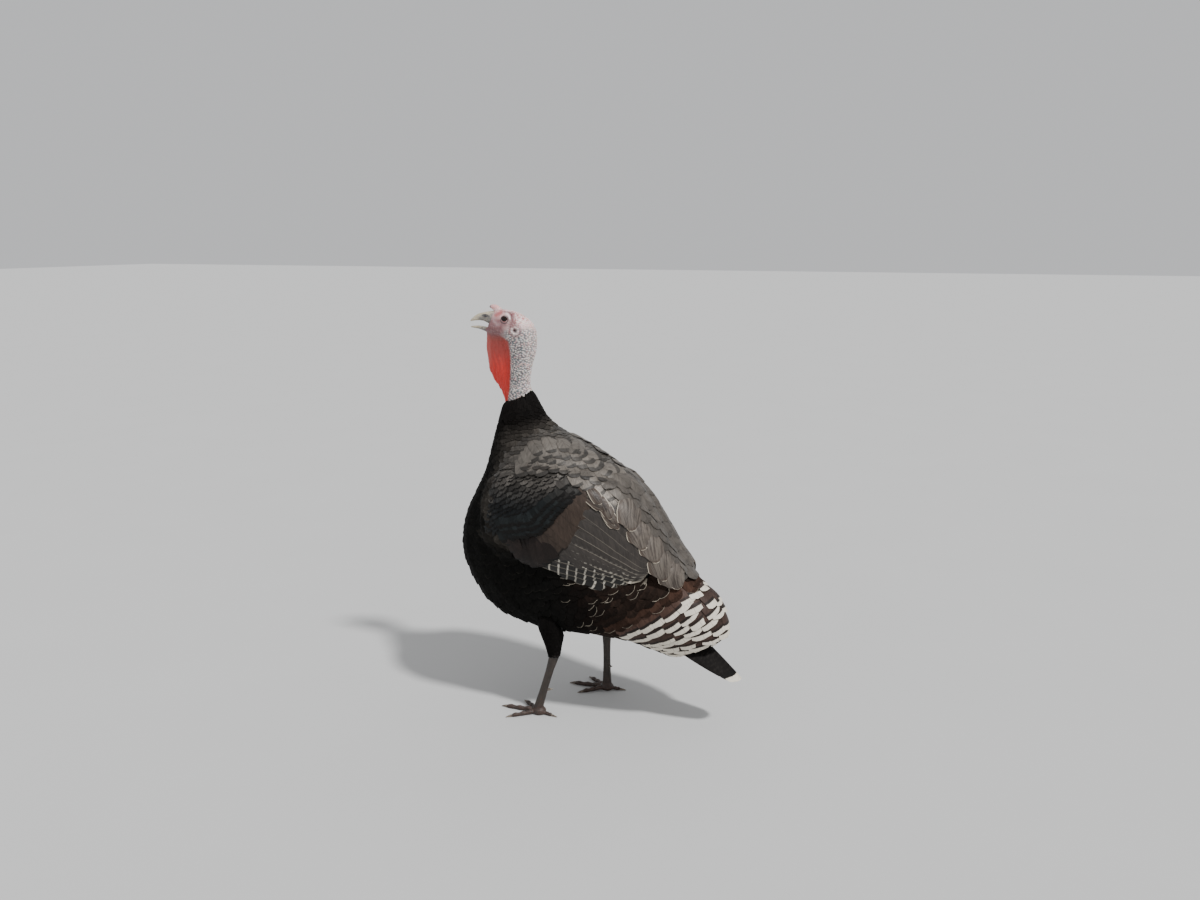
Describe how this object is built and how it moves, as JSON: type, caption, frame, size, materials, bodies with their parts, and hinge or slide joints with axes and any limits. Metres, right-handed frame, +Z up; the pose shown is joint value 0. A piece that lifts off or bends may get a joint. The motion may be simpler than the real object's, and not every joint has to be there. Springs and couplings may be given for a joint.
{
  "type": "bronze turkey",
  "caption": "Life-size still model of a bronze turkey, a domestic bird of the wild turkey's kind, standing alert with its bill slightly open.",
  "frame": {"origin": "on the floor under the middle of the bird's bounding box", "axes": "+Z up, the breast faces -Y, the bird's left side is +X"},
  "size_m": [0.3086, 0.6792, 0.9475],
  "materials": {
    "plumage": "overlapping body feathers, dark brown-black with a bronze and green sheen, satin",
    "quills": "stiff wing feathers, grey-brown with pale mottled edges and dark barred tips, satin",
    "tail_tips": "tail feathers, brown with dark streaks and cream-white tips, satin",
    "bare_skin": "bare wrinkled and warty skin, pinkish white to mauve and blue-grey, slightly moist",
    "wattle_skin": "thin folded bare skin, red-orange, slightly translucent",
    "horn": "horny bill, yellowish ridge over blue-grey sides, satin",
    "eyes": "dark brown wet eye, glossy",
    "scaled_skin": "scaled legs and toes, dark horn brown, satin",
    "claws": "horny claws and spurs, dark brown, satin"
  },
  "bodies": {
    "root": {"bill_lower": "horn", "bill_upper": "horn", "claw_left_hind": "claws", "claw_left_inner": "claws", "claw_left_middle": "claws", "claw_left_outer": "claws", "claw_right_hind": "claws", "claw_right_inner": "claws", "claw_right_middle": "claws", "claw_right_outer": "claws", "eye_left": "eyes", "eye_right": "eyes", "foot_left": "scaled_skin", "foot_right": "scaled_skin", "head": "bare_skin", "neck": "bare_skin", "neck_ruff": "plumage", "shank_left": "scaled_skin", "shank_right": "scaled_skin", "snood": "wattle_skin", "spur_left": "claws", "spur_right": "claws", "tail": "tail_tips", "tail_coverts": "plumage", "thigh_left": "plumage", "thigh_right": "plumage", "toe_left_hind": "scaled_skin", "toe_left_inner": "scaled_skin", "toe_left_middle": "scaled_skin", "toe_left_outer": "scaled_skin", "toe_right_hind": "scaled_skin", "toe_right_inner": "scaled_skin", "toe_right_middle": "scaled_skin", "toe_right_outer": "scaled_skin", "trunk": "plumage", "wattle": "wattle_skin", "wing_coverts_left": "plumage", "wing_coverts_right": "plumage", "wing_flights_left": "quills", "wing_flights_right": "quills", "wing_tertials_left": "quills", "wing_tertials_right": "quills"}
  },
  "joints": []
}
